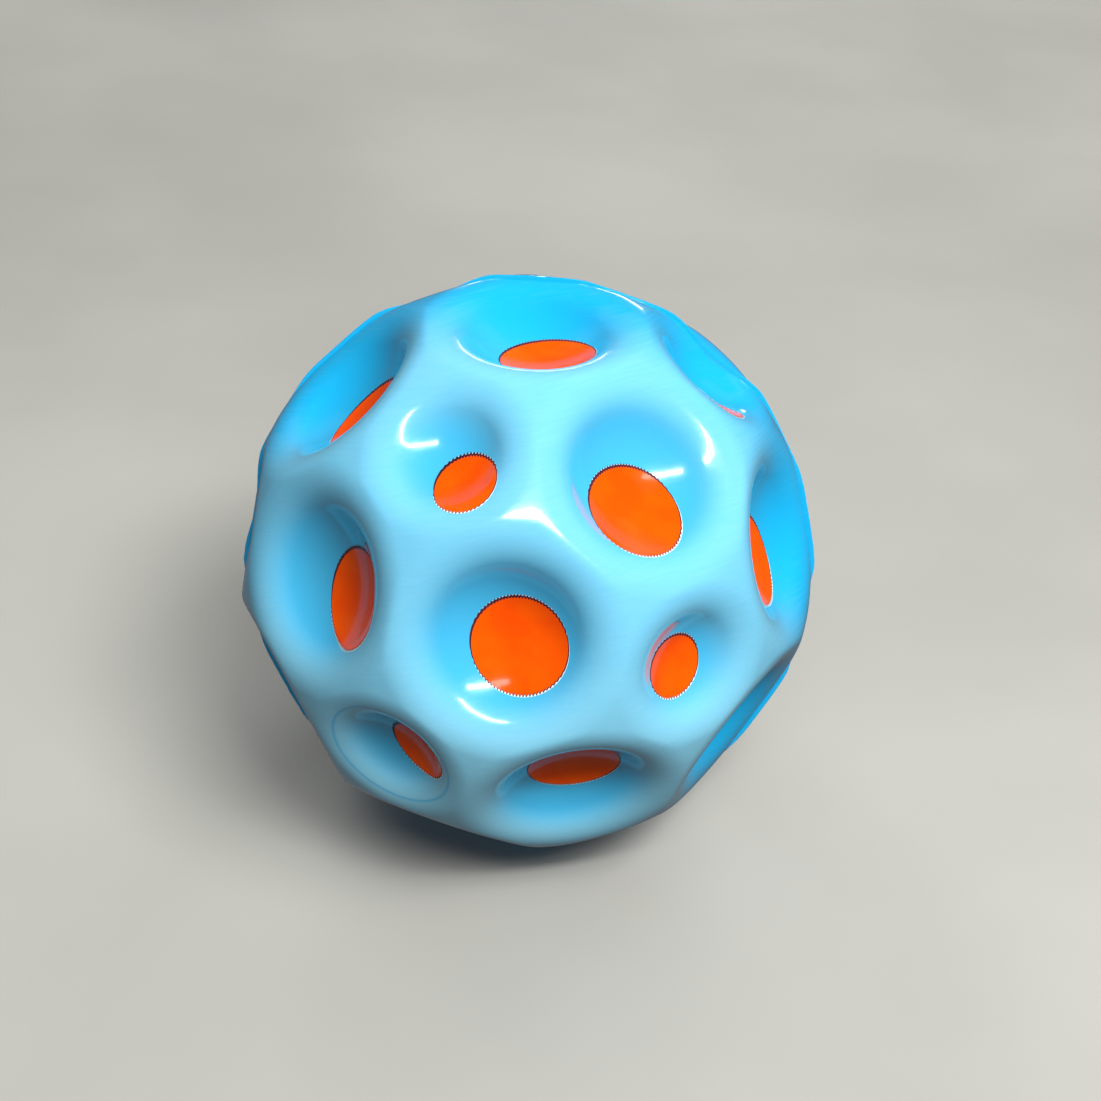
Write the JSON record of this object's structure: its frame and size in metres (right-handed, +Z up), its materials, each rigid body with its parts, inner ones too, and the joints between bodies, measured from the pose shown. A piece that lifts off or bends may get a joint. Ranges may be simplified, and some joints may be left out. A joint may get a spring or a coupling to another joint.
{
  "type": "bouncy ball",
  "caption": "High-bounce foam ball covered in round craters, with two glossy film half-skins that meet at a lipped seam and a printed dot in each crater.",
  "frame": {"origin": "the ball's centre", "axes": "+Z up through the middle of the uppermost large crater, opposite the crater whose rim the ball rests on; the pole of the front skin leans up from -Y; +X to the right seen from the front"},
  "size_m": [0.0708, 0.07, 0.0668],
  "materials": {
    "foam": "matt closed-cell polyurethane foam",
    "front_film": "glossy pale blue printed film with fine print lines",
    "rear_film": "glossy blue printed film",
    "orange_ink": "glossy orange ink"
  },
  "bodies": {
    "root": {"foam_core": "foam", "front_skin": "front_film", "rear_skin": "rear_film", "front_large_dot_1": "orange_ink", "front_large_dot_2": "orange_ink", "front_large_dot_3": "orange_ink", "front_large_dot_4": "orange_ink", "front_large_dot_5": "orange_ink", "front_large_dot_6": "orange_ink", "front_large_dot_7": "orange_ink", "front_large_dot_8": "orange_ink", "front_large_dot_9": "orange_ink", "front_large_dot_10": "orange_ink", "front_small_dot_1": "orange_ink", "front_small_dot_2": "orange_ink", "front_small_dot_3": "orange_ink", "front_small_dot_4": "orange_ink", "front_small_dot_5": "orange_ink", "front_small_dot_6": "orange_ink", "rear_large_dot_1": "orange_ink", "rear_large_dot_2": "orange_ink", "rear_large_dot_3": "orange_ink", "rear_large_dot_4": "orange_ink", "rear_large_dot_5": "orange_ink", "rear_large_dot_6": "orange_ink", "rear_large_dot_7": "orange_ink", "rear_large_dot_8": "orange_ink", "rear_large_dot_9": "orange_ink", "rear_large_dot_10": "orange_ink", "rear_small_dot_1": "orange_ink", "rear_small_dot_2": "orange_ink", "rear_small_dot_3": "orange_ink", "rear_small_dot_4": "orange_ink", "rear_small_dot_5": "orange_ink", "rear_small_dot_6": "orange_ink"}
  },
  "joints": []
}
